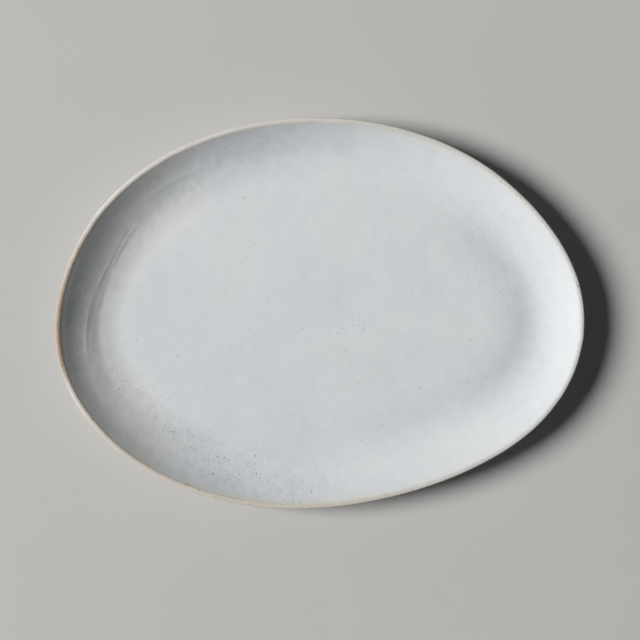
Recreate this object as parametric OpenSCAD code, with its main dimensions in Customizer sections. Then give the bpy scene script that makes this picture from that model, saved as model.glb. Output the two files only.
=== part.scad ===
// Oval serving platter: an egg-shaped dish with a coved wall, a coil foot and
// a glaze coat. Lengths are in millimetres and +Z is up. The long axis is X.
// The origin is at table level, under the middle of the rim's length and width.

/* [Rim outline] */
// The rim is a ring of twelve arcs, each tangent to the next. Ten radii are
// free. The back side and the right tip take the radii that close the ring,
// and the steps of the free ones keep every arc centre a short decimal.
// Radius of the shoulder between the right tip and the back
right_shoulder_r = 163; // [149:7:177]
// Radius of the flank that leads from the right shoulder into the back side
right_flank_r = 227; // [213:7:241]
// Radius of the flank that leads from the back side into the left shoulder
left_flank_r = 208; // [194:7:222]
// Radius of the shoulder between the back and the left tip
left_shoulder_r = 163; // [149:7:177]
// Radius of the blunt left tip
left_tip_r = 106; // [98:1:114]
// Radius of the shoulder between the left tip and the front
front_left_shoulder_r = 140; // [126:7:154]
// Radius of the flank that leads into the front side from the left
front_left_flank_r = 175; // [161:7:189]
// Radius of the nearly straight front side
front_side_r = 285; // [273:1:297]
// Radius of the flank that leads out of the front side to the right
front_right_flank_r = 289; // [275:7:303]
// Radius of the shoulder between the front and the right tip
front_right_shoulder_r = 112; // [98:7:126]

/* [Section] */
// Thickness of the clay floor
floor_t = 5; // [4:0.5:7]
// Width of the coved wall, from the rim's outer edge in to the flat floor
wall_w = 49.3; // [45:0.1:54]
// Slope of the wall where it reaches the lip, in degrees
wall_angle = 46; // [40:1:50]
// Thickness of the clay at the lip, which is fully rounded
lip_t = 3.6; // [3:0.2:4.6]

/* [Foot] */
// Height of the foot, from the table to the clay's underside
foot_h = 5; // [4:0.5:8]
// Width of the foot where it is luted to the clay
foot_w = 7; // [6:0.5:9]
// How much narrower each side of the foot is at the table
foot_taper = 1.4; // [1:0.1:2]
// Distance from the rim's outer edge in to the foot's outer side
foot_inset = 56; // [55:0.5:62]

/* [Glaze] */
// Thickness of the glaze coat
glaze_t = 0.5; // [0.4:0.1:0.8]

/* [Hidden] */
$fn = 96;
steps = 12;       // straight pieces in the section of the cove
lip_steps = 8;    // straight pieces in the section of the lip
spare = 2;        // degrees that each arc is swept past its own joints before it is trimmed
reach = 420;      // longer than any radius of the outline
overlap = 6;      // width of the swept section's flat part, inside the cove

// Unit vectors from each arc's centre to its joints, counterclockwise from the right tip
quadrant = [[24, 7], [15, 20], [7, 24]] / 25;
JOINTS = [
    for (v = quadrant) v,
    for (k = [2 : -1 : 0]) [-quadrant[k][0], quadrant[k][1]],
    for (v = quadrant) -v,
    for (k = [2 : -1 : 0]) [quadrant[k][0], -quadrant[k][1]]
];
ARCS = len(JOINTS);
BACK = 2;
LEFT = 5;
FRONT = 8;
RIGHT = 11;
function next(i) = (i + 1) % ARCS;
function turn(i) = JOINTS[next(i)] - JOINTS[i];

// The ring closes when the sum of radius times turn is zero. The back side turns
// only along X and the right tip only along Y, so each closes one direction.
free_radii = [
    right_shoulder_r, right_flank_r, 0, left_flank_r, left_shoulder_r, left_tip_r,
    front_left_shoulder_r, front_left_flank_r, front_side_r, front_right_flank_r,
    front_right_shoulder_r, 0
];
function total(i) = i < 0 ? [0, 0] : total(i - 1) + free_radii[i] * turn(i);
back_side_r = -total(RIGHT)[0] / turn(BACK)[0];
right_tip_r = -total(RIGHT)[1] / turn(RIGHT)[1];
RADII = [for (i = [0 : ARCS - 1]) i == BACK ? back_side_r : i == RIGHT ? right_tip_r : free_radii[i]];

// Arc centres: neighbouring centres lie on one line with the joint between them
function chain(i) = i == 0 ? [0, 0] : chain(i - 1) + (RADII[i - 1] - RADII[i]) * JOINTS[i];
middle = [
    (chain(RIGHT)[0] + RADII[RIGHT] + chain(LEFT)[0] - RADII[LEFT]) / 2,
    (chain(BACK)[1] + RADII[BACK] + chain(FRONT)[1] - RADII[FRONT]) / 2
];
CENTRES = [for (i = [0 : ARCS - 1]) chain(i) - middle];

// Section, with x measured outward from the rim's outer edge and y up from the table.
// Angles in the section run from straight down, counterclockwise.
function polar(centre, r, angle) = [centre[0] + r * sin(angle), centre[1] - r * cos(angle)];
function arc(centre, r, from, to, n) = [for (k = [0 : n]) polar(centre, r, from + (to - from) * k / n)];
function reversed(list) = [for (k = [len(list) - 1 : -1 : 0]) list[k]];
lip_r = lip_t / 2;
floor_top = foot_h + floor_t;
floor_edge = -wall_w;
cove_r = (wall_w - lip_r - glaze_t) / sin(wall_angle) - lip_r;
cove_c = [floor_edge, floor_top + cove_r];
lip_c = polar(cove_c, cove_r + lip_r, wall_angle);
under_end = polar(lip_c, lip_r, wall_angle);
under_rise = under_end - [floor_edge, foot_h];
under_r = (under_rise * under_rise) / (2 * under_rise[1]);
under_c = [floor_edge, foot_h + under_r];
under_angle = atan2(under_rise[0], under_r - under_rise[1]);

cove = arc(cove_c, cove_r, 0, wall_angle, steps);
glazed_cove = arc(cove_c, cove_r - glaze_t, 0, wall_angle, steps);
lip = arc(lip_c, lip_r, wall_angle + 180, wall_angle, lip_steps);
under = arc(under_c, under_r, 0, under_angle, steps);
glazed_lip = arc(lip_c, lip_r + glaze_t, wall_angle + 180, wall_angle, lip_steps);

// Sweeps a section round the whole outline, one arc at a time
module around_rim() {
    function heading(v) = atan2(v[1], v[0]);
    function sweep(i) = (heading(JOINTS[next(i)]) - heading(JOINTS[i]) + 360) % 360;
    for (i = [0 : ARCS - 1])
        intersection() {
            translate(CENTRES[i])
                rotate_extrude(angle = sweep(i) + 2 * spare, start = heading(JOINTS[i]) - spare)
                    translate([RADII[i], 0]) children();
            translate([0, 0, -1])
                linear_extrude(80)
                    polygon([
                        CENTRES[i],
                        CENTRES[i] + reach * JOINTS[i],
                        CENTRES[i] + reach * JOINTS[next(i)]
                    ]);
        }
}

// The outline moved in from the rim, as a flat shape
module inner_outline(inset) {
    function at(i, j) = CENTRES[i] + (RADII[i] - inset) * JOINTS[j];
    function beyond(i, j) = at(i, j) + RADII[i] / 2 * JOINTS[j];
    polygon([for (i = [0 : ARCS - 1]) at(i, i)]);
    for (i = [0 : ARCS - 1])
        intersection() {
            translate(CENTRES[i]) circle(RADII[i] - inset);
            polygon([at(i, i), beyond(i, i), beyond(i, next(i)), at(i, next(i))]);
        }
}

// Flat sheet that ends halfway along the flat part of the swept section
module floor_sheet(z, thickness) {
    translate([0, 0, z]) linear_extrude(thickness) inner_outline(wall_w + overlap / 2);
}

// Fired clay: the flat floor and the wall that coves up to a rounded lip
module clay_body() {
    inside = floor_edge - overlap;
    color("#cdb997") {
        around_rim()
            polygon([
                [inside, floor_top], each cove, each lip,
                each reversed(under), [inside, foot_h]
            ]);
        floor_sheet(foot_h, floor_t);
    }
}

// Coil foot, luted to the clay and left bare where it stands
module foot_ring() {
    outer = -foot_inset;
    inner = outer - foot_w;
    bevel = foot_taper / 2;
    color("#b89b76")
        around_rim()
            polygon([
                [outer, foot_h], [outer, foot_h - glaze_t], [outer - bevel, bevel],
                [outer - 2 * bevel, 0], [inner + 2 * bevel, 0],
                [inner + bevel, bevel], [inner, foot_h - glaze_t], [inner, foot_h]
            ]);
}

// Glaze on the eating side, over floor and cove up to the lip
module top_glaze() {
    inside = floor_edge - overlap;
    color("#e6e9eb") {
        around_rim()
            polygon([
                [inside, floor_top], each cove,
                each reversed(glazed_cove), [inside, floor_top + glaze_t]
            ]);
        floor_sheet(floor_top, glaze_t);
    }
}

// Glaze on the outside, from the foot out and up to the lip
module underside_glaze() {
    face = arc(under_c, under_r + glaze_t, 0, under_angle, steps);
    color("#dcdfe0")
        around_rim()
            polygon([
                [-foot_inset, foot_h], [-foot_inset, foot_h - glaze_t],
                for (k = [0 : steps - 1]) face[k],
                glazed_lip[lip_steps],
                each reversed(under)
            ]);
}

// Glaze on the flat recess inside the foot
module base_glaze() {
    color("#dcdfe0")
        translate([0, 0, foot_h - glaze_t])
            linear_extrude(glaze_t)
                inner_outline(foot_inset + foot_w);
}

// Band over the lip, where the glaze pulls thin and shows the clay
module rim_edge() {
    color("#c9a878") around_rim() polygon(concat(lip, reversed(glazed_lip)));
}

clay_body();
foot_ring();
top_glaze();
underside_glaze();
base_glaze();
rim_edge();
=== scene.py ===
"""Looks for an oval stoneware serving platter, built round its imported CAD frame.

Every surface is a stack of rings. A ring follows the outline that the CAD rim
gives, moved in by some inset, at a height from the CAD section. The glaze coats,
the clay and the foot share those rings, so they meet with no gap.
Lengths are in metres, like the frame, unless a comment says that they are in mm.
"""

import math

import bpy
import numpy as np
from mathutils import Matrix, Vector

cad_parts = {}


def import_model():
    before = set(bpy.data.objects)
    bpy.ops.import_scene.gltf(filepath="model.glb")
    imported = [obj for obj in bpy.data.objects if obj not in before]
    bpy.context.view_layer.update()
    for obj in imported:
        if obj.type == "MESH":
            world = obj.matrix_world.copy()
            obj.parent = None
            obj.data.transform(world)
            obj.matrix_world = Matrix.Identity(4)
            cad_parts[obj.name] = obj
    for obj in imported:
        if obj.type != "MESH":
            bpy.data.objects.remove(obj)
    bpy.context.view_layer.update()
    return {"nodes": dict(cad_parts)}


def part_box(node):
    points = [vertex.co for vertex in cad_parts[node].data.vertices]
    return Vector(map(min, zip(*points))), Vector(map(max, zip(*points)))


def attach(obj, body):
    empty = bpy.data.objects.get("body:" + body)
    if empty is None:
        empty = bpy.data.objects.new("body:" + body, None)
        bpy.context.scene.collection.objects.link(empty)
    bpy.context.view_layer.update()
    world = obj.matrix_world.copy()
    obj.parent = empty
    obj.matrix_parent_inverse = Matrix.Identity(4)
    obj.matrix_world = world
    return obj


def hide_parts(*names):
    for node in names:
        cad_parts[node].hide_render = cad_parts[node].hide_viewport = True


MM = 0.001
TURN = 2 * math.pi

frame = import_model()

# ------------------------------------------------------------- hand-made shape
# Headings are the way the rim faces, in degrees counterclockwise from the right
# tip. Each bump is (heading, spread, height in mm).

# Where the pressed edge leans out of the CAD arcs
EDGE_LEANS = [
    (23, 9, 0.8), (44, 12, -1.1), (62, 8, 0.4), (90, 25, -0.7), (160, 11, -0.9), (172, 12, -0.6),
    (192, 8, 0.5), (206, 12, 1.6), (249, 9, -0.6), (259, 5, 0.45), (284, 14, -1.9), (301, 8, 1.0),
    (325, 10, -0.5), (350, 35, 0.6), (350, 17, -0.9),
]
# Where the rim stands higher or lower than the CAD rim
RIM_LIFTS = [(0, 55, -2.0), (110, 40, 0.3), (150, 28, 1.5), (192, 26, -0.7), (285, 35, 0.25)]
# Swells and hollows of the eating side: (heading, spread, inset, width towards the wall, width
# towards the floor, height in mm)
SWELLS = [
    (0, 58, 32, 14, 18, -3.2),
    (283, 18, 45, 12, 16, -0.9),
    (200, 42, 23, 8, 12, 0.62),
    (241, 9, 20, 8, 8, 0.14),
    (200, 50, 8, 3.4, 12, 0.62),
    (163, 13, 8, 4.0, 9, 0.44),
    (114, 14, 7.5, 3.2, 10, 0.22),
    (182, 11, 21, 9, 6, 0.20),
    (178, 30, 31, 3.5, 3.5, -0.22),
    (166, 32, 23.5, 4.5, 4.5, 0.2),
]
# Finger ridges on the wall: (first and last heading, inset at each, width, height in mm)
RIDGES = [
    (108, 132, 20.6, 18.2, 2.2, 0.17),
    (137, 154, 27.4, 29.4, 0.95, 0.22),
    (149, 163, 26.9, 25.0, 0.85, 0.20),
    (140, 152, 24.6, 25.6, 1.2, 0.09),
    (166, 194, 23.6, 20.6, 1.15, 0.20),
    (160, 172, 29.8, 28.8, 1.1, 0.11),
]
# Pressing marks over the whole eating side: (wavelength in mm, height in mm, seed)
PRESSING = [(70, 0.10, 3), (34, 0.035, 5), (15, 0.008, 8)]
# Unevenness of the lip, by turns round the rim: (turns, height in mm, phase in degrees)
LIP_WOBBLE = [(17, 0.05, 20), (29, 0.04, 130), (43, 0.03, 250), (71, 0.02, 80)]
# Insets in mm: where the lip's unevenness fades out, where the pressing marks come in, and from
# where on a swell or ridge has its full height
WOBBLE_ENDS = (2, 18)
PRESSING_BEGINS = (4, 14)
FULL_FROM = 3

AROUND = 640          # points in each ring
FLOOR_RINGS = 50      # rings over the flat floor, where it shows
COVE_RINGS = 62
LIP_RINGS = 24
UNDER_RINGS = 26      # rings over the outside of the wall
BASE_RINGS = 10       # rings over the flat base, where it shows
HIDDEN_RINGS = 14     # rings over each stretch that lies inside the platter
SHOULDER = 4.0        # how square the lip's outer shoulder is: 2 is round
GUARD = 0.02          # how close a guard ring lies to a seam, as a share of a step
HARMONICS = 20        # Fourier terms that the outline keeps
LEVEL = 0.01 * MM     # vertices this near a height count as lying at it
AT_ONCE = 500         # points measured against the outline at a time


def wrapped(angle):
    """The same angle, from minus half a turn to half a turn."""
    return (angle + math.pi) % TURN - math.pi


def bumps(heading, table):
    """The sum of the table's smooth bumps round the outline, in the table's own unit."""
    total = np.zeros_like(heading)
    for at, spread, height in table:
        total += height * np.exp(-((wrapped(heading - math.radians(at)) / math.radians(spread)) ** 2))
    return total


def smooth(value, low, high):
    """0 at low, 1 at high, with level ends."""
    t = np.clip((value - low) / (high - low), 0, 1)
    return t * t * (3 - 2 * t)


def ripple(xy, wavelength, seed, waves=9):
    """A smooth random field over the plan, mostly between -1 and 1."""
    rng = np.random.default_rng(seed)
    total = np.zeros(len(xy))
    for _ in range(waves):
        way, phase, stretch = rng.uniform(0, TURN), rng.uniform(0, TURN), rng.uniform(0.75, 1.4)
        k = TURN / (wavelength * stretch)
        total += np.cos(k * (xy[:, 0] * math.cos(way) + xy[:, 1] * math.sin(way)) + phase)
    return total / math.sqrt(waves)


# -------------------------------------------------------------- frame measures


def corners(node):
    """The vertices of a CAD node, one row each."""
    mesh = frame["nodes"][node].data
    flat = np.empty(len(mesh.vertices) * 3)
    mesh.vertices.foreach_get("co", flat)
    return flat.reshape(-1, 3)


class Outline:
    """A smooth closed outline, held as the Fourier terms of its support function.

    The support function says how far the outline reaches towards each heading. It
    makes parallel curves simple: each is the point less inset times the normal."""

    def __init__(self, points, harmonics, samples=1440):
        self.heading = np.arange(samples) * TURN / samples
        self.reach = (points[:, :2] @ self.normal(self.heading).T).max(axis=0)
        terms = np.fft.rfft(self.reach + bumps(self.heading, EDGE_LEANS) * MM) / samples
        self.order = np.arange(harmonics)
        self.terms = terms[:harmonics] * np.sinc(self.order / harmonics) * np.where(self.order, 2, 1)

    @staticmethod
    def normal(heading):
        return np.stack([np.cos(heading), np.sin(heading)], axis=1)

    def derivative(self, heading, times):
        wave = np.exp(1j * np.outer(heading, self.order))
        return (wave @ (self.terms * (1j * self.order) ** times)).real

    def point(self, heading, inset):
        out = self.normal(heading)
        along = np.stack([-out[:, 1], out[:, 0]], axis=1)
        reach = self.derivative(heading, 0) - inset
        return reach[:, None] * out + self.derivative(heading, 1)[:, None] * along

    def even_headings(self, count, inset):
        """Headings whose points stand at even steps along the curve moved in by inset."""
        radius = self.derivative(self.heading, 0) + self.derivative(self.heading, 2)
        length = np.concatenate([[0], np.cumsum(radius - inset)])
        return np.interp(np.arange(count) / count, length / length[-1], np.append(self.heading, TURN))

    def inset_of(self, points):
        """How far each point lies inside the CAD outline."""
        normals = self.normal(self.heading).T
        parts = np.array_split(points[:, :2], len(points) // AT_ONCE + 1)
        return np.concatenate([(self.reach - part @ normals).min(axis=1) for part in parts])


outline = Outline(corners("rim_edge"), HARMONICS)


def insets_at(node, z):
    """The least and the greatest inset of a node's vertices at that height."""
    points = corners(node)
    found = outline.inset_of(points[np.abs(points[:, 2] - z) < LEVEL])
    return float(found.min()), float(found.max())


def ring_at(node, z):
    """(inset, height) of a node's only ring of vertices at that height."""
    return sum(insets_at(node, z)) / 2, z


class Arc:
    """A section arc that leaves a flat at start and rises to end, each (inset, z)."""

    def __init__(self, start, end):
        run, rise = start[0] - end[0], end[1] - start[1]
        self.start = start
        self.r = (run * run + rise * rise) / (2 * rise)
        self.sweep = math.atan2(run, self.r - rise)

    def at(self, share, outward=0.0):
        """(inset, z) at that share of the sweep. outward moves it away from the centre."""
        a = share * self.sweep
        r = self.r + outward
        return self.start[0] - r * math.sin(a), self.start[1] + self.r - r * math.cos(a)


glaze_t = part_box("base_glaze")[1].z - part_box("base_glaze")[0].z
floor_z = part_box("top_glaze")[0].z + glaze_t
base_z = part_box("base_glaze")[0].z
clay_floor = floor_z - glaze_t
clay_base = base_z + glaze_t
wall_w = ring_at("top_glaze", floor_z)[0]
cove_end = ring_at("top_glaze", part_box("top_glaze")[1].z)
under_end = ring_at("rim_edge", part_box("rim_edge")[0].z)
foot_top = insets_at("foot_ring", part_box("foot_ring")[1].z)
foot_ground = insets_at("foot_ring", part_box("foot_ring")[0].z)
cove = Arc((wall_w, floor_z), cove_end)
under = Arc((wall_w, base_z), under_end)
lip_c = ((cove_end[0] + under_end[0]) / 2, (cove_end[1] + under_end[1]) / 2)
lip_r = math.dist(cove_end, under_end) / 2
lip_start = math.atan2(cove_end[1] - lip_c[1], lip_c[0] - cove_end[0])
to_top = lip_start - math.pi / 2    # how far the lip turns from the cove's end to its highest line

# ----------------------------------------------------------------------- rings
heading = outline.even_headings(AROUND, inset=wall_w / 2)
floor_edge = outline.point(heading, wall_w)
middle = floor_edge.mean(axis=0)


def lip_wobble(shift):
    """The lip's small unevenness round the rim. shift turns each wave on, in degrees."""
    return MM * sum(
        height * np.cos(turns * heading + math.radians(phase + shift))
        for turns, height, phase in LIP_WOBBLE
    )


def pressed(xy, inset):
    """Height that pressing gave the eating side: broad swells, finger ridges and soft dents."""
    height = np.zeros(AROUND)
    for at, spread, swell_inset, to_wall, to_floor, tall in SWELLS:
        width = np.where(inset < swell_inset * MM, to_wall, to_floor) * MM
        across = np.exp(-(((inset - swell_inset * MM) / width) ** 2))
        height += bumps(heading, [(at, spread, tall)]) * MM * across
    for first, last, first_inset, last_inset, width, tall in RIDGES:
        centre, half = math.radians((first + last) / 2), math.radians((last - first) / 2)
        along = wrapped(heading - centre) / half
        at = (first_inset + last_inset + along * (last_inset - first_inset)) / 2
        height += tall * MM * np.exp(-(along**4) - ((inset / MM - at) / width) ** 2)
    clear_of_lip = smooth(inset / MM, *PRESSING_BEGINS)
    for wavelength, tall, seed in PRESSING:
        height += tall * MM * clear_of_lip * ripple(xy, wavelength * MM, seed)
    return height * smooth(inset, under_end[0], FULL_FROM * MM)


def ring(inset, z, on_top=False):
    """A ring at one inset and height of the CAD section, made uneven as by hand."""
    near_lip = 1 - smooth(inset / MM, *WOBBLE_ENDS)
    on_wall = 1 - smooth(inset, 0, wall_w)
    xy = outline.point(heading, inset)
    xy = xy + near_lip * lip_wobble(90)[:, None] * outline.normal(heading)
    z = z + on_wall * bumps(heading, RIM_LIFTS) * MM + near_lip * lip_wobble(0)
    if on_top:
        z = z + pressed(xy, inset)
    return np.column_stack([xy, z])


def flat_ring(share, z, edge, on_top=False):
    """A ring over a flat part, at that share of the way from the middle out to its edge."""
    xy = middle + share * (edge - middle)
    z = np.full(AROUND, z)
    if on_top:
        z = z + pressed(xy, outline.inset_of(xy))
    return np.column_stack([xy, z])


class Stack:
    """Rings that run out over the top of a solid and back in underneath.

    Each has its distance from the crest of the lip in mm, below zero on the outside,
    and says whether it is a sharp edge."""

    def __init__(self):
        self.rings = []
        self.from_crest = []
        self.sharp = []

    def add(self, points, from_crest, sharp=False):
        self.rings.append(points)
        self.from_crest.append(from_crest)
        self.sharp.append(sharp)


FAR = 100.0    # stands for the distance from the crest on the flat parts, where it doesn't matter


def with_guards(count):
    """Even shares from 0 to 1, with a ring close to each end to hold the shading there."""
    return [0, GUARD / count, *(np.arange(1, count) / count), 1 - GUARD / count, 1]


def flat_rings(stack, z, edge, count, on_top=False, inward=False):
    shares = [k / count for k in range(1, count)]
    for share in reversed(shares) if inward else shares:
        stack.add(flat_ring(share, z, edge, on_top), FAR if on_top else -FAR)


def cove_rings(stack, depth, count, inward=False):
    """The cove, from the floor's edge up to the lip, at a depth under the glaze face."""
    shares = with_guards(count)
    for share in reversed(shares) if inward else shares:
        to_crest = (cove.sweep * cove.r * (1 - share) + to_top * lip_r) / MM
        stack.add(ring(*cove.at(share, depth), on_top=True), to_crest, sharp=share == 1)


def lip_rings(stack, depth, count, inward=False):
    """The rounded lip, from the end of the cove over to the outside."""
    shares = with_guards(count)
    for share in reversed(shares) if inward else shares:
        angle = lip_start - share * math.pi
        r = lip_r - depth
        if 0 < angle < math.pi / 2:
            r *= (math.cos(angle) ** SHOULDER + math.sin(angle) ** SHOULDER) ** (-1 / SHOULDER)
        inset = lip_c[0] - r * math.cos(angle)
        z = lip_c[1] + r * math.sin(angle)
        to_crest = (to_top - share * math.pi) * lip_r / MM
        stack.add(ring(inset, z, on_top=True), to_crest, sharp=share in (0, 1))


def under_rings(stack, depth, count, outward=False):
    """The outside of the wall, from the lip down to the flat base."""
    shares = with_guards(count)
    for share in shares if outward else reversed(shares):
        to_crest = (to_top - math.pi) * lip_r - under.sweep * under.r * (1 - share)
        stack.add(ring(*under.at(share, -depth)), to_crest / MM, sharp=share == 1)


# ------------------------------------------------- where the glaze changes looks
# Where iron specks gather: (x, y, half length, half width in mm, turn in degrees, share of cells
# taken)
SPECK_FIELDS = [
    (-154, -28, 40, 9, -78, 0.26),
    (-126, -76, 26, 9, -46, 0.36),
    (-92, -104, 28, 9, -30, 0.40),
    (-58, -122, 28, 14, -12, 0.48),
    (-14, -134, 26, 9, 0, 0.32),
    (14, -18, 30, 22, 0, 0.17),
    (138, 10, 12, 24, 0, 0.22),
    (126, 62, 9, 10, 0, 0.22),
    (48, -98, 14, 9, 0, 0.16),
    (114, -58, 16, 8, 0, 0.10),
    (-58, 70, 16, 10, 0, 0.06),
    (-167, 22, 10, 8, 0, 0.16),
]
SPECKS_EVERYWHERE = 0.014
# Round the rim: where it is toasted, where brown flecks sit, how much the glaze breaks off the
# lip, how creamy it is beside it, and where a painted highlight lightens the bare line on the
# lip's outer side, most at the upper left, which faces the light. Each is (heading, spread, strength).
TOAST = [(176, 20, 0.8), (192, 9, 0.4), (150, 18, 0.25), (20, 6, 0.3), (48, 6, 0.3)]
FLECKS = [
    (17.5, 2.5, 1.0), (46, 1.6, 0.8), (51.5, 1.2, 0.7), (60, 14, 0.12), (158, 14, 0.22),
    (188, 5, 0.5), (205, 25, 0.2), (249.5, 1.5, 0.8), (250, 20, 0.15), (283, 4, 0.25),
]
BREAK = [(200, 55, 0.85), (260, 30, 0.6), (100, 45, 0.35)]
CREAM = [(150, 45, 0.6), (215, 40, 0.6), (260, 35, 0.4), (50, 30, 0.5)]
LIP_HIGHLIGHT = [(142, 26, 1.0), (98, 22, 0.4), (208, 9, 0.5), (50, 30, 0.3)]
TOAST_ELSEWHERE = 0.03
BREAK_ELSEWHERE = 0.15
CREAM_ELSEWHERE = 0.12
# The few brown flecks on the rim that stand out: (heading, inset and radius in mm)
LONE_FLECKS = [
    (15, 1.5, 0.75), (16.2, 2.1, 0.4), (46, 2.2, 0.45), (51.5, 3.2, 0.55), (154, 2.5, 0.6),
    (162, 2.6, 0.45), (178, 2.0, 0.55), (195, 1.8, 0.75), (197, 1.6, 0.6), (210, 2.8, 0.5),
    (219, 3.4, 0.55), (250, 4.0, 0.5), (255.5, 1.2, 0.55), (269.5, 5.6, 0.6), (283, 2.8, 0.5),
]
# Patches of greyer glaze and of painted shade, and a patch of painted warm bounce light: (heading range,
# fades, inset range, fades, strength)
GREY_GLAZE_AND_PAINTED_SHADE = [
    # lines where two pours of glaze overlap
    ((84, 100), (1.5, 14), (6, 22), (4, 9), 0.60),
    ((236, 259), (14, 2.0), (4, 14), (3, 9), 0.35),
    # painted shade, partly glaze pooled greyer, on the floor where it meets the wall on the right and at
    # the bottom
    ((-44, 44), (26, 20), (22, 52), (8, 30), 0.52),
    ((-26, 6), (12, 10), (26, 46), (6, 6), 0.45),
    ((250, 300), (14, 14), (36, 58), (12, 16), 0.20),
    # painted shade: the floor darker towards the bottom and the left
    ((150, 325), (24, 24), (46, 104), (18, 30), 0.32),
    # painted shade on the upper left wall, which faces away from the light
    ((128, 174), (14, 10), (9, 24), (5, 9), 1.00),
    # painted shade, partly glaze pooled greyer, on the floor beside the lit right wall
    ((18, 42), (10, 10), (36, 45), (5, 7), 0.50),
    # painted shade on the lower left wall, which faces away from the light
    ((206, 244), (16, 12), (22, 42), (9, 12), 0.42),
]
# painted warm bounce light over the left wall and floor, which lie in shade
PAINTED_WARM_BOUNCE = [((128, 236), (24, 22), (0, 26), (1, 50), 0.90)]
# Where the glaze is mottled most, laid out in the same way
MOTTLED = [
    ((112, 264), (34, 20), (5, 32), (4, 16), 0.22),
    ((-60, 60), (34, 34), (2, 44), (3, 16), 0.05),
]
MOTTLED_ELSEWHERE = 0.12


def lone_flecks():
    """The (x, y, radius) of each fleck that stands out on the rim."""
    for at, inset, radius in LONE_FLECKS:
        x, y = outline.point(np.radians([at]), inset * MM)[0]
        yield float(x), float(y), radius * MM


def blob(xy, x, y, long, wide, turned):
    """A soft-edged ellipse: 1 in its middle, fading to 0."""
    c, s = math.cos(math.radians(turned)), math.sin(math.radians(turned))
    dx, dy = xy[:, 0] / MM - x, xy[:, 1] / MM - y
    return np.exp(-(((c * dx + s * dy) / long) ** 2) - ((c * dy - s * dx) / wide) ** 2)


def within(value, limits, fades):
    """1 between the limits, fading to 0 outside them."""
    low, high = limits
    return smooth(value, low - fades[0], low) * (1 - smooth(value, high, high + fades[1]))


def covered(inset, headings, patches):
    """How much of each point the patches cover. The insets are in mm."""
    total = np.zeros(len(inset))
    for across, across_fades, along, along_fades, strength in patches:
        centre = sum(across) / 2
        turned = np.degrees(wrapped(headings - math.radians(centre)))
        limits = (across[0] - centre, across[1] - centre)
        total += strength * within(turned, limits, across_fades) * within(inset, along, along_fades)
    return total


def paint(mesh, points, headings, from_crest):
    """Stores what the glaze has to know at each point of a mesh."""
    inset = outline.inset_of(points) / MM
    masks = {
        "from_crest": from_crest,
        "specks": SPECKS_EVERYWHERE + sum(f[5] * blob(points, *f[:5]) for f in SPECK_FIELDS),
        "toast": TOAST_ELSEWHERE + bumps(headings, TOAST),
        "flecks": bumps(headings, FLECKS),
        "break": BREAK_ELSEWHERE + bumps(headings, BREAK),
        "cream": CREAM_ELSEWHERE + bumps(headings, CREAM),
        # painted highlight on the lip's outer side
        "pale": bumps(headings, LIP_HIGHLIGHT),
        # grey glaze, and painted shade where the wall and floor lie in shade
        "grey_and_painted_shade": covered(inset, headings, GREY_GLAZE_AND_PAINTED_SHADE),
        # painted warm bounce light on the shaded left side
        "painted_warm_bounce": covered(inset, headings, PAINTED_WARM_BOUNCE),
        "mottled": MOTTLED_ELSEWHERE + covered(inset, headings, MOTTLED),
    }
    for name, values in masks.items():
        mesh.attributes.new(name, "FLOAT", "POINT").data.foreach_set("value", values)


# ------------------------------------------------------------- building a piece


def mark_sharp(mesh, stack):
    """Marks the edges that run along the stack's sharp rings."""
    ends = np.empty(2 * len(mesh.edges), dtype=np.int32)
    mesh.edges.foreach_get("vertices", ends)
    rows = ends.reshape(-1, 2) // AROUND
    is_sharp = np.append(stack.sharp, False)
    along = (rows[:, 0] == rows[:, 1]) & is_sharp[np.minimum(rows[:, 0], len(stack.sharp))]
    mesh.attributes.new("sharp_edge", "BOOLEAN", "EDGE").data.foreach_set("value", along)


def solid(name, stack, node, material, discs):
    """A closed piece made of the stack's rings. With discs, its first and last ring are
    each closed by a disc. Without, the last ring joins the first, as in a hoop."""
    rows = len(stack.rings)
    points = np.concatenate(stack.rings)
    headings = np.tile(heading, rows)
    from_crest = np.repeat(stack.from_crest, AROUND)
    here = np.arange(AROUND)
    beside = np.roll(here, -1)
    faces = []
    for row in range(rows - 1 if discs else rows):
        inner, outer = row * AROUND, (row + 1) % rows * AROUND
        faces += np.stack([inner + here, outer + here, outer + beside, inner + beside], axis=1).tolist()
    if discs:
        top, bottom = len(points), len(points) + 1
        last = (rows - 1) * AROUND
        points = np.vstack([points, stack.rings[0].mean(axis=0), stack.rings[-1].mean(axis=0)])
        headings = np.append(headings, [0, 0])
        from_crest = np.append(from_crest, [stack.from_crest[0], stack.from_crest[-1]])
        for a, b in zip(here.tolist(), beside.tolist()):
            faces.append([top, a, b])
            faces.append([last + a, bottom, last + b])
    mesh = bpy.data.meshes.new(name)
    mesh.from_pydata(points.tolist(), [], faces)
    mesh.polygons.foreach_set("use_smooth", [True] * len(mesh.polygons))
    mark_sharp(mesh, stack)
    paint(mesh, points, headings, from_crest)
    mesh.materials.append(material)
    piece = bpy.data.objects.new(name, mesh)
    bpy.context.scene.collection.objects.link(piece)
    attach(piece, "root")
    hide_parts(node)


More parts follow.
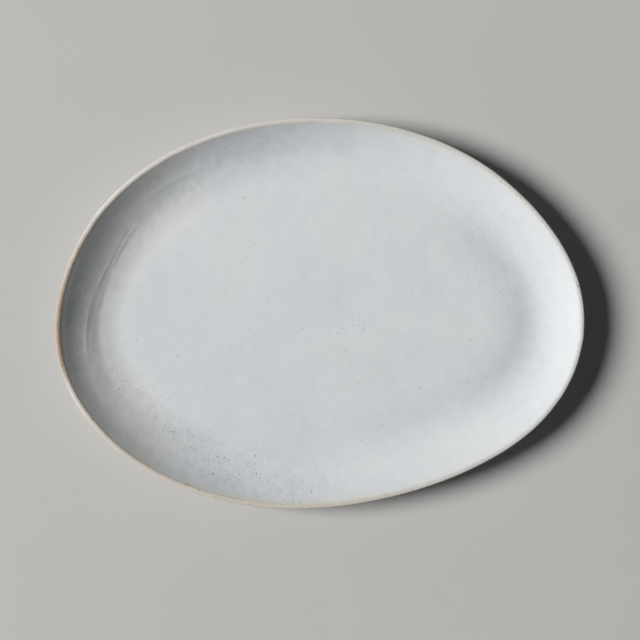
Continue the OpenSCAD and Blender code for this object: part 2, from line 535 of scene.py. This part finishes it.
# ------------------------------------------------------------------- materials
# Colours are linear red, green and blue
WHITE = (0.706, 0.735, 0.755)       # the coat turns between these two
COOL = (0.670, 0.706, 0.742)
GREYING_AND_SHADING = (0.895, 0.905, 0.920)     # its grey and painted-shade patches, and its painted warm bounce light, are multiplied by these
WARM_BOUNCE_TINT = (1.030, 1.003, 0.962)
THIN = (0.690, 0.700, 0.640)        # the thin coat beside the lip
RIM_CREAM = (0.610, 0.568, 0.500)   # the bare line, and a painted highlight on its outer side
RIM_PAINTED_HIGHLIGHT = (0.860, 0.800, 0.735)
TOASTED = (0.520, 0.385, 0.295)     # the bare line where it is toasted: outer side, inner side
SCORCHED = (0.330, 0.235, 0.170)
IRON = (0.060, 0.055, 0.052)
RUST = (0.130, 0.070, 0.040)
GRAIN = (0.340, 0.270, 0.210)
GROG = (0.62, 0.50, 0.37)           # pale grains in the bare clay
FOOT_CLAY = ((0.36, 0.25, 0.155), (0.27, 0.165, 0.095))
BODY_CLAY = ((0.46, 0.36, 0.25), (0.38, 0.28, 0.18))

# The noises that make up the glaze's tone: (lump size in mm, stretch, share)
TONES = [(85, (1, 1, 1), 0.5), (30, (1.0, 0.4, 1.0), 0.3), (9, (1.0, 0.6, 1.0), 0.2)]
TONE_TURNS = (0.39, 0.59)     # the tone at which the coat is all cool, and all white
# Lumps within the grey and painted-shade patches and the mottling, and clumps of specks, by size in mm
PATCH_LUMPS = 12
BLOTCHES = 6
CLUMPS = 11
# Noise that makes the looks' edges ragged: (lump size in mm, full range of the shift). It shifts
# a distance from the crest, in mm, or the strength of the break or the toasting.
THIN_RAGGED = (6, 3.0)
LINE_RAGGED = ((3.5, 1.2), (1.2, 0.6))
BREAK_RAGGED = (8, 0.5)
TOAST_RAGGED = ((10, 0.7), (1.4, 0.35))
GRAINS_RAGGED = (4, 2.5)
# How strong the break and the toasting must be to show at all, and in full
BREAK_SHOWS = (0.0, 0.85)
TOAST_SHOWS = (0.15, 0.95)
# Layers of iron specks: (cell, least and greatest radius in mm, strength)
SPECK_LAYERS = [(1.7, 0.13, 0.42, 1.0), (6.5, 0.25, 0.60, 1.0), (1.3, 0.12, 0.30, 0.7)]
# Brown flecks on the rim and iron in the bare clay: (cell, least and greatest radius in mm)
RIM_FLECKS = (3.2, 0.4, 1.1)
CLAY_SPECKS = (2.4, 0.15, 0.5)
# How deep each kind of mark colours what it lies on
SPECK_DEPTH = 0.85
FLECK_DEPTH = 0.8
GRAIN_DEPTH = 0.45
GROG_DEPTH = 0.35
CLAY_SPECK_DEPTH = 0.7

# Ranges of distance from the lip's crest, in mm, below zero on the outside. Over each of these a
# look comes in.
LIP_LOOKS_BEGIN = (-12.0, -4.0)
BARE_BEGINS = (-5.5, -3.8)
LONE_FLECKS_BEGIN = (-3.4, -2.8)
SCORCHING_BEGINS = (-1.2, 0.6)
SPECKS_BEGIN = (1.2, 3.6)     # on both sides of the crest
# Over each of these a look goes away
# the painted highlight on the lip's outer side
HIGHLIGHT_ENDS = (-1.3, 0.4)
BARE_ENDS = (0.3, 2.9)
GRAINS_END = (0.6, 4.6)
FLECKS_END = (0.8, 4.5)
THINNESS_ENDS = (2.0, 11.0)

# Roughness, least and greatest, and how much rougher the bare line is
SATIN = (0.66, 0.76)
DRY = (0.78, 0.92)
BARE_ROUGHER = 0.12
# Each part's share in the height of the glaze's bump, beside 1 for its broad waves
FINE_SKIN = 0.35
SPECK_DIP = 0.6
BARE_GRIT = 0.9

# A spot is full up to the first share of its radius, and gone at the second. So is a dot, once
# its ragged noise, which is about 0.5, has been added to the share.
SPOT_EDGE = (0.55, 1.25)
DOT_EDGE = (0.8, 1.8)
SMALL_ONES = 2.5              # above 1, small spots outnumber large ones
FAINTEST = 0.25               # depth of the faintest spot


class Shader:
    """A node material, with short ways to add to it. Sizes are in mm."""

    def __init__(self, name):
        self.material = bpy.data.materials.new(name)
        self.material.use_nodes = True
        self.tree = self.material.node_tree
        self.surface = self.tree.nodes["Principled BSDF"]
        self.place = self.node("ShaderNodeTexCoord").outputs["Object"]

    def put(self, node, socket, value):
        """Sets one input of a node, or links another node's output to it."""
        if isinstance(value, bpy.types.NodeSocket):
            self.tree.links.new(value, node.inputs[socket])
        else:
            node.inputs[socket].default_value = value

    def node(self, kind, settings=(), **inputs):
        made = self.tree.nodes.new(kind)
        for name, value in dict(settings).items():
            setattr(made, name, value)
        for name, value in inputs.items():
            self.put(made, name.replace("_", " "), value)
        return made

    def attribute(self, name):
        return self.node("ShaderNodeAttribute", {"attribute_name": name}).outputs["Fac"]

    def math(self, operation, a, b):
        made = self.node("ShaderNodeMath", {"operation": operation})
        self.put(made, 0, a)
        self.put(made, 1, b)
        return made.outputs[0]

    def ease(self, value, low, high, start=0.0, end=1.0):
        """start where value is low, end where it is high, with a smooth step between."""
        made = self.node(
            "ShaderNodeMapRange", {"interpolation_type": "SMOOTHSTEP"},
            Value=value, From_Min=low, From_Max=high, To_Min=start, To_Max=end,
        )
        return made.outputs["Result"]

    def noise(self, size, detail=2.0, stretch=(1, 1, 1), roughness=0.5):
        """Noise whose lumps are about size across, between 0 and 1."""
        scaled = self.node("ShaderNodeMapping", Vector=self.place, Scale=stretch).outputs["Vector"]
        made = self.node(
            "ShaderNodeTexNoise", Vector=scaled, Scale=1 / (size * MM), Detail=detail, Roughness=roughness
        )
        return made.outputs["Fac"]

    def uneven(self, value, *moves):
        """The value, moved up and down with noise. Each move is (lump size, full range)."""
        for size, span in moves:
            shift = self.math("MULTIPLY", self.math("SUBTRACT", self.noise(size, 3), 0.5), span)
            value = self.math("ADD", value, shift)
        return value

    def mix(self, share, a, b, blend="MIX"):
        """Colour a, turning to b, or blended with b, as share goes from 0 to 1."""
        made = self.node("ShaderNodeMix", {"data_type": "RGBA", "blend_type": blend})
        self.put(made, 0, share)
        for socket, colour in ((6, a), (7, b)):
            self.put(made, socket, (*colour, 1) if isinstance(colour, tuple) else colour)
        return made.outputs[2]

    def spots(self, cell, least, most, presence, flat=True):
        """1 inside random spots, with soft edges. There is one place for a spot in each
        cell, and presence says how many of them are taken. least and most are radii."""
        made = self.node(
            "ShaderNodeTexVoronoi", {"voronoi_dimensions": "2D" if flat else "3D"},
            Vector=self.place, Scale=1 / (cell * MM),
        )
        draw = self.node("ShaderNodeSeparateColor", Color=made.outputs["Color"]).outputs
        size = self.math("POWER", draw[1], SMALL_ONES)
        radius = self.ease(size, 0, 1, least / cell, most / cell)
        ratio = self.math("DIVIDE", made.outputs["Distance"], radius)
        inside = self.ease(ratio, *SPOT_EDGE, 1, 0)
        taken = self.math("LESS_THAN", draw[0], presence)
        depth = self.ease(draw[2], 0, 1, FAINTEST, 1.0)
        return self.math("MULTIPLY", self.math("MULTIPLY", inside, taken), depth)

    def dots(self, places, ragged):
        """1 inside dots of (x, y, radius) in metres, as seen in plan. The ragged noise
        roughens their edges."""
        plan = self.node("ShaderNodeMapping", Vector=self.place, Scale=(1, 1, 0)).outputs["Vector"]
        total = 0.0
        for x, y, radius in places:
            gap = self.node("ShaderNodeVectorMath", {"operation": "DISTANCE"})
            self.put(gap, 0, plan)
            self.put(gap, 1, (x, y, 0))
            ratio = self.math("ADD", self.math("DIVIDE", gap.outputs["Value"], radius), ragged)
            total = self.math("MAXIMUM", self.ease(ratio, *DOT_EDGE, 1, 0), total)
        return total

    def finish(self, colour, roughness, height, bump_strength, bump_mm):
        """Gives the surface its colour, roughness and bump, and returns the material."""
        bump = self.node("ShaderNodeBump", Height=height, Strength=bump_strength, Distance=bump_mm * MM)
        self.put(self.surface, "Base Color", colour)
        self.put(self.surface, "Roughness", roughness)
        self.put(self.surface, "Normal", bump.outputs["Normal"])
        return self.material


def coat(s):
    """The coat's colour: cloudy, blotched, greyer in patches, with painted shade and painted warm bounce
    light.
    """
    tone = 0.0
    for size, stretch, share in TONES:
        tone = s.math("ADD", s.math("MULTIPLY", s.noise(size, 3, stretch), share), tone)
    colour = s.mix(s.ease(tone, *TONE_TURNS), COOL, WHITE)
    # grey patches of glaze, and painted shade where the wall and floor lie in shade
    lumps = s.ease(s.noise(PATCH_LUMPS, 4), 0.25, 0.6, 0.6, 1.1)
    grey_and_shade = s.math("MULTIPLY", lumps, s.attribute("grey_and_painted_shade"))
    colour = s.mix(grey_and_shade, colour, GREYING_AND_SHADING, "MULTIPLY")
    # painted warm bounce light on the shaded left side
    colour = s.mix(s.attribute("painted_warm_bounce"), colour, WARM_BOUNCE_TINT, "MULTIPLY")
    blotches = s.noise(BLOTCHES, 4, stretch=(1.0, 0.7, 1.0), roughness=0.6)
    blotches = s.math("SUBTRACT", blotches, 0.5)
    blotches = s.math("ADD", s.math("MULTIPLY", blotches, s.attribute("mottled")), 1.0)
    return s.mix(1.0, colour, blotches, "MULTIPLY")


def bare_line(s, colour, from_crest):
    """The line where the glaze breaks off the lip, laid over the colour, with a painted highlight
    on its outer side. Also returns how bare each place is."""
    line = s.uneven(from_crest, *LINE_RAGGED)
    bare = s.math("MULTIPLY", s.ease(line, *BARE_ENDS, 1, 0), s.ease(line, *BARE_BEGINS))
    broken = s.ease(s.uneven(s.attribute("break"), BREAK_RAGGED), *BREAK_SHOWS)
    bare = s.math("MULTIPLY", bare, broken)
    burn = s.ease(s.uneven(s.attribute("toast"), *TOAST_RAGGED), *TOAST_SHOWS)
    # a painted highlight on the lip's outer side, most where it faces the light
    outer = s.math("MULTIPLY", s.ease(line, *HIGHLIGHT_ENDS, 1, 0), s.attribute("pale"))
    clay = s.mix(outer, RIM_CREAM, RIM_PAINTED_HIGHLIGHT)
    toasted = s.mix(s.ease(line, *SCORCHING_BEGINS), TOASTED, SCORCHED)
    return s.mix(bare, colour, s.mix(burn, clay, toasted)), bare


def iron_specks(s, from_crest):
    """1 inside the iron specks. They gather in clumps and stay off the lip, where specks
    drawn in plan would turn into streaks."""
    clumps = s.ease(s.noise(CLUMPS, 2), 0.35, 0.65, 0.35, 1.6)
    density = s.math("MULTIPLY", s.attribute("specks"), clumps)
    off_lip = s.ease(s.math("ABSOLUTE", from_crest, 0.0), *SPECKS_BEGIN)
    density = s.math("MULTIPLY", density, off_lip)
    specks = 0.0
    for cell, least, most, strength in SPECK_LAYERS:
        layer = s.math("MULTIPLY", s.spots(cell, least, most, density), strength)
        specks = s.math("MAXIMUM", layer, specks)
    return specks


def rim_flecks(s, from_crest):
    """1 inside the brown flecks along the rim, the random ones and the few that stand out."""
    by_the_rim = s.math("MULTIPLY", s.ease(from_crest, *FLECKS_END, 1, 0), s.attribute("flecks"))
    presence = s.math("MULTIPLY", by_the_rim, 0.95)
    scattered = s.spots(*RIM_FLECKS, presence, flat=False)
    lone = s.dots(lone_flecks(), ragged=s.noise(0.6, 2))
    lone = s.math("MULTIPLY", lone, s.ease(from_crest, *LONE_FLECKS_BEGIN))
    return s.math("MAXIMUM", scattered, lone)


def glaze(name):
    """Satin off-white glaze: cloudy, specked with iron, and thin over the lip."""
    s = Shader(name)
    from_crest = s.attribute("from_crest")
    over_lip = s.ease(from_crest, *LIP_LOOKS_BEGIN)
    colour = coat(s)

    # towards the lip the coat gets thinner and creamier, then breaks with a ragged edge
    near = s.ease(s.uneven(from_crest, THIN_RAGGED), *THINNESS_ENDS, 1, 0)
    near = s.math("MULTIPLY", near, over_lip)
    colour = s.mix(s.math("MULTIPLY", near, s.attribute("cream")), colour, THIN)
    colour, bare = bare_line(s, colour, from_crest)

    # iron specks, then brown flecks and fine grains along the rim
    specks = iron_specks(s, from_crest)
    colour = s.mix(s.math("MULTIPLY", specks, SPECK_DEPTH), colour, IRON)
    colour = s.mix(s.math("MULTIPLY", rim_flecks(s, from_crest), FLECK_DEPTH), colour, RUST)
    grainy = s.ease(s.uneven(from_crest, GRAINS_RAGGED), *GRAINS_END, 1, 0)
    grainy = s.math("MULTIPLY", grainy, over_lip)
    grains = s.ease(s.noise(0.9, 2, roughness=0.6), 0.52, 0.68, 0, GRAIN_DEPTH)
    colour = s.mix(s.math("MULTIPLY", grains, grainy), colour, GRAIN)

    # satin, drier where it is bare, with a soft skin that dips at each speck
    satin = s.ease(s.noise(20, 4), 0.3, 0.7, *SATIN)
    satin = s.math("ADD", satin, s.math("MULTIPLY", bare, BARE_ROUGHER))
    height = s.math("ADD", s.math("MULTIPLY", s.noise(1.6), FINE_SKIN), s.noise(7))
    height = s.math("SUBTRACT", height, s.math("MULTIPLY", specks, SPECK_DIP))
    grit = s.math("MULTIPLY", s.noise(0.7, 3, roughness=0.65), bare)
    height = s.math("ADD", height, s.math("MULTIPLY", grit, BARE_GRIT))
    return s.finish(colour, satin, height, bump_strength=0.35, bump_mm=0.10)


def fired_clay(name, light, dark):
    """Bare fired clay: gritty, dry and toasted in patches."""
    s = Shader(name)
    colour = s.mix(s.ease(s.noise(18, 4), 0.35, 0.68), light, dark)
    grain = s.noise(0.7, 3, roughness=0.7)
    colour = s.mix(s.ease(grain, 0.5, 0.8, 0, GROG_DEPTH), colour, GROG)
    iron = s.spots(*CLAY_SPECKS, presence=0.35, flat=False)
    colour = s.mix(s.math("MULTIPLY", iron, CLAY_SPECK_DEPTH), colour, IRON)
    height = s.math("ADD", s.noise(1.2, 4, roughness=0.65), s.math("MULTIPLY", s.noise(5), 0.8))
    roughness = s.ease(grain, 0.3, 0.7, *DRY)
    return s.finish(colour, roughness, height, bump_strength=0.7, bump_mm=0.25)


white_glaze = glaze("white_glaze_looks")
rim_glaze = glaze("rim_break_looks")
bare_clay = fired_clay("bare_clay_looks", *FOOT_CLAY)
body_clay = fired_clay("stoneware_looks", *BODY_CLAY)

# --------------------------------------------------------------- the six pieces
FILLET = 0.8 * MM      # how far the glaze creeps down the foot, and out along the base
BITE = 0.25 * MM       # how far the end of the glaze laps into the foot's side
FOOT_ROUNDING = 1.2 * MM
ROUND_STEPS = 6        # rings over each small round


def eating_side():
    stack = Stack()
    flat_rings(stack, floor_z, floor_edge, FLOOR_RINGS, on_top=True)
    cove_rings(stack, 0, COVE_RINGS)
    cove_rings(stack, glaze_t, HIDDEN_RINGS, inward=True)
    flat_rings(stack, clay_floor, floor_edge, HIDDEN_RINGS, on_top=True, inward=True)
    solid("glaze_eating_side", stack, "top_glaze", white_glaze, discs=True)


def rim_band():
    stack = Stack()
    lip_rings(stack, 0, LIP_RINGS)
    lip_rings(stack, glaze_t, LIP_RINGS // 2, inward=True)
    solid("rim_break_band", stack, "rim_edge", rim_glaze, discs=False)


def fillet(foot_edge, away):
    """(inset, z) down the glaze's concave end against the foot. away is the sign of the
    inset's change on leaving the foot."""
    path = []
    for turn in np.linspace(0, TURN / 4, ROUND_STEPS):
        out = (FILLET + BITE) * (1 - math.sin(turn)) - BITE
        path.append((foot_edge + away * out, base_z - FILLET * (1 - math.cos(turn))))
    return path


def outside():
    stack = Stack()
    under_rings(stack, 0, UNDER_RINGS)
    flat_end = foot_top[0] - FILLET
    for share in (0.25, 0.5, 0.75):
        stack.add(ring(wall_w + share * (flat_end - wall_w), base_z), -FAR)
    for inset, z in fillet(foot_top[0], away=-1):
        stack.add(ring(inset, z), -FAR)
    stack.add(ring(foot_top[0] + BITE, clay_base), -FAR)
    under_rings(stack, glaze_t, HIDDEN_RINGS, outward=True)
    solid("glaze_outside", stack, "underside_glaze", white_glaze, discs=False)


def base():
    stack = Stack()
    edge = outline.point(heading, foot_top[1] + FILLET)
    flat_rings(stack, clay_base, edge, BASE_RINGS)
    stack.add(ring(foot_top[1] - BITE, clay_base), -FAR)
    for inset, z in reversed(fillet(foot_top[1], away=1)):
        stack.add(ring(inset, z), -FAR)
    flat_rings(stack, base_z, edge, BASE_RINGS, inward=True)
    solid("glaze_base", stack, "base_glaze", white_glaze, discs=True)


def foot():
    """The coil under the slab: leaning sides, rounded edges and a ground flat to stand on."""
    top_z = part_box("foot_ring")[1].z
    stack = Stack()
    stack.add(ring(foot_top[1], top_z), -FAR)
    stack.add(ring(foot_top[0], top_z), -FAR)
    sides = []
    for top, ground, away in ((foot_top[0], foot_ground[0], -1), (foot_top[1], foot_ground[1], 1)):
        side = [(top, base_z - FILLET / 2)]
        for turn in np.linspace(0, TURN / 4, ROUND_STEPS):
            inset = ground + away * FOOT_ROUNDING * (math.cos(turn) - 1)
            side.append((inset, FOOT_ROUNDING * (1 - math.sin(turn))))
        sides.append(side)
    for inset, z in sides[0] + sides[1][::-1]:
        stack.add(ring(inset, z), -FAR)
    solid("foot_coil", stack, "foot_ring", bare_clay, discs=False)


def body():
    stack = Stack()
    flat_rings(stack, clay_floor, floor_edge, HIDDEN_RINGS, on_top=True)
    cove_rings(stack, glaze_t, HIDDEN_RINGS)
    lip_rings(stack, glaze_t, LIP_RINGS // 2)
    under_rings(stack, glaze_t, HIDDEN_RINGS)
    flat_rings(stack, clay_base, floor_edge, HIDDEN_RINGS, inward=True)
    solid("stoneware_body", stack, "clay_body", body_clay, discs=True)


eating_side()
rim_band()
outside()
base()
foot()
body()

# ------------------------------------------------------- floor, light and camera
FLOOR_HALF = 3.0               # half of the floor's width
FLOOR_TONES = ((0.53, 0.525, 0.515), (0.56, 0.555, 0.545))
KEY_FROM = (-1.0, 0.06)        # the way to the key light in plan
KEY_HEIGHT = math.radians(40)
KEY_DISTANCE = 10.0
KEY_SIZE = 4.4
KEY_WATTS = 1270
KEY_COLOUR = (1.0, 0.99, 0.975)
FILL_STRENGTH = 0.05
FILL_COLOUR = (0.93, 0.97, 1.0, 1)
WALL_COLOUR = (0.56, 0.56, 0.55, 1)
LENS = 85                      # focal length and sensor width, in mm
SENSOR = 36
CAMERA_ABOVE_RIM = 1.1554
CAMERA_Y = -0.0052
# The camera's response: straight up to the floor's brightness, then a soft shoulder
RESPONSE_START = (0.0, 0.0)
RESPONSE = [(0.30, 0.30), (0.60, 0.60), (0.80, 0.755)]
RESPONSE_END = (1.0, 0.895)


def floor():
    h = FLOOR_HALF
    mesh = bpy.data.meshes.new("studio_floor")
    mesh.from_pydata([(-h, -h, 0), (h, -h, 0), (h, h, 0), (-h, h, 0)], [], [(0, 1, 2, 3)])
    s = Shader("studio_floor_looks")
    s.put(s.surface, "Base Color", s.mix(s.noise(120, 3), *FLOOR_TONES))
    s.put(s.surface, "Roughness", s.ease(s.noise(50, 3), 0.3, 0.7, 0.80, 0.90))
    mesh.materials.append(s.material)
    plane = bpy.data.objects.new("studio_floor", mesh)
    bpy.context.scene.collection.objects.link(plane)


def key_light():
    """One large soft light from the left."""
    lamp = bpy.data.lights.new("key", "AREA")
    lamp.shape = "DISK"
    lamp.size = KEY_SIZE
    lamp.energy = KEY_WATTS
    lamp.color = KEY_COLOUR
    key = bpy.data.objects.new("key", lamp)
    flat = Vector((*KEY_FROM, 0)).normalized()
    way = flat * math.cos(KEY_HEIGHT) + Vector((0, 0, math.sin(KEY_HEIGHT)))
    key.location = way * KEY_DISTANCE
    key.rotation_euler = way.to_track_quat("Z", "Y").to_euler()
    bpy.context.scene.collection.objects.link(key)


def world():
    """A dim fill light all round. The camera sees a plain pale wall in its place."""
    made = bpy.data.worlds.new("fill")
    made.use_nodes = True
    tree = made.node_tree
    fill = tree.nodes["Background"]
    fill.inputs["Color"].default_value = FILL_COLOUR
    fill.inputs["Strength"].default_value = FILL_STRENGTH
    wall = tree.nodes.new("ShaderNodeBackground")
    wall.inputs["Color"].default_value = WALL_COLOUR
    seen = tree.nodes.new("ShaderNodeLightPath").outputs["Is Camera Ray"]
    either = tree.nodes.new("ShaderNodeMixShader")
    tree.links.new(seen, either.inputs[0])
    tree.links.new(fill.outputs[0], either.inputs[1])
    tree.links.new(wall.outputs[0], either.inputs[2])
    tree.links.new(either.outputs[0], tree.nodes["World Output"].inputs["Surface"])
    bpy.context.scene.world = made


def camera():
    """A camera straight above the platter, looking down."""
    data = bpy.data.cameras.new("camera")
    data.lens = LENS
    data.sensor_width = SENSOR
    made = bpy.data.objects.new("camera", data)
    rim_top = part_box("rim_edge")[1].z
    made.location = (0, CAMERA_Y, rim_top + CAMERA_ABOVE_RIM)
    bpy.context.scene.collection.objects.link(made)
    bpy.context.scene.camera = made


def response():
    """Sets how the picture's brightness follows the light."""
    view = bpy.context.scene.view_settings
    view.view_transform = "Standard"
    view.use_curve_mapping = True
    curve = view.curve_mapping.curves[3]
    curve.points[0].location = RESPONSE_START
    curve.points[1].location = RESPONSE_END
    for light, picture in RESPONSE:
        curve.points.new(light, picture)
    view.curve_mapping.extend = "EXTRAPOLATED"
    view.curve_mapping.update()


floor()
key_light()
world()
camera()
response()
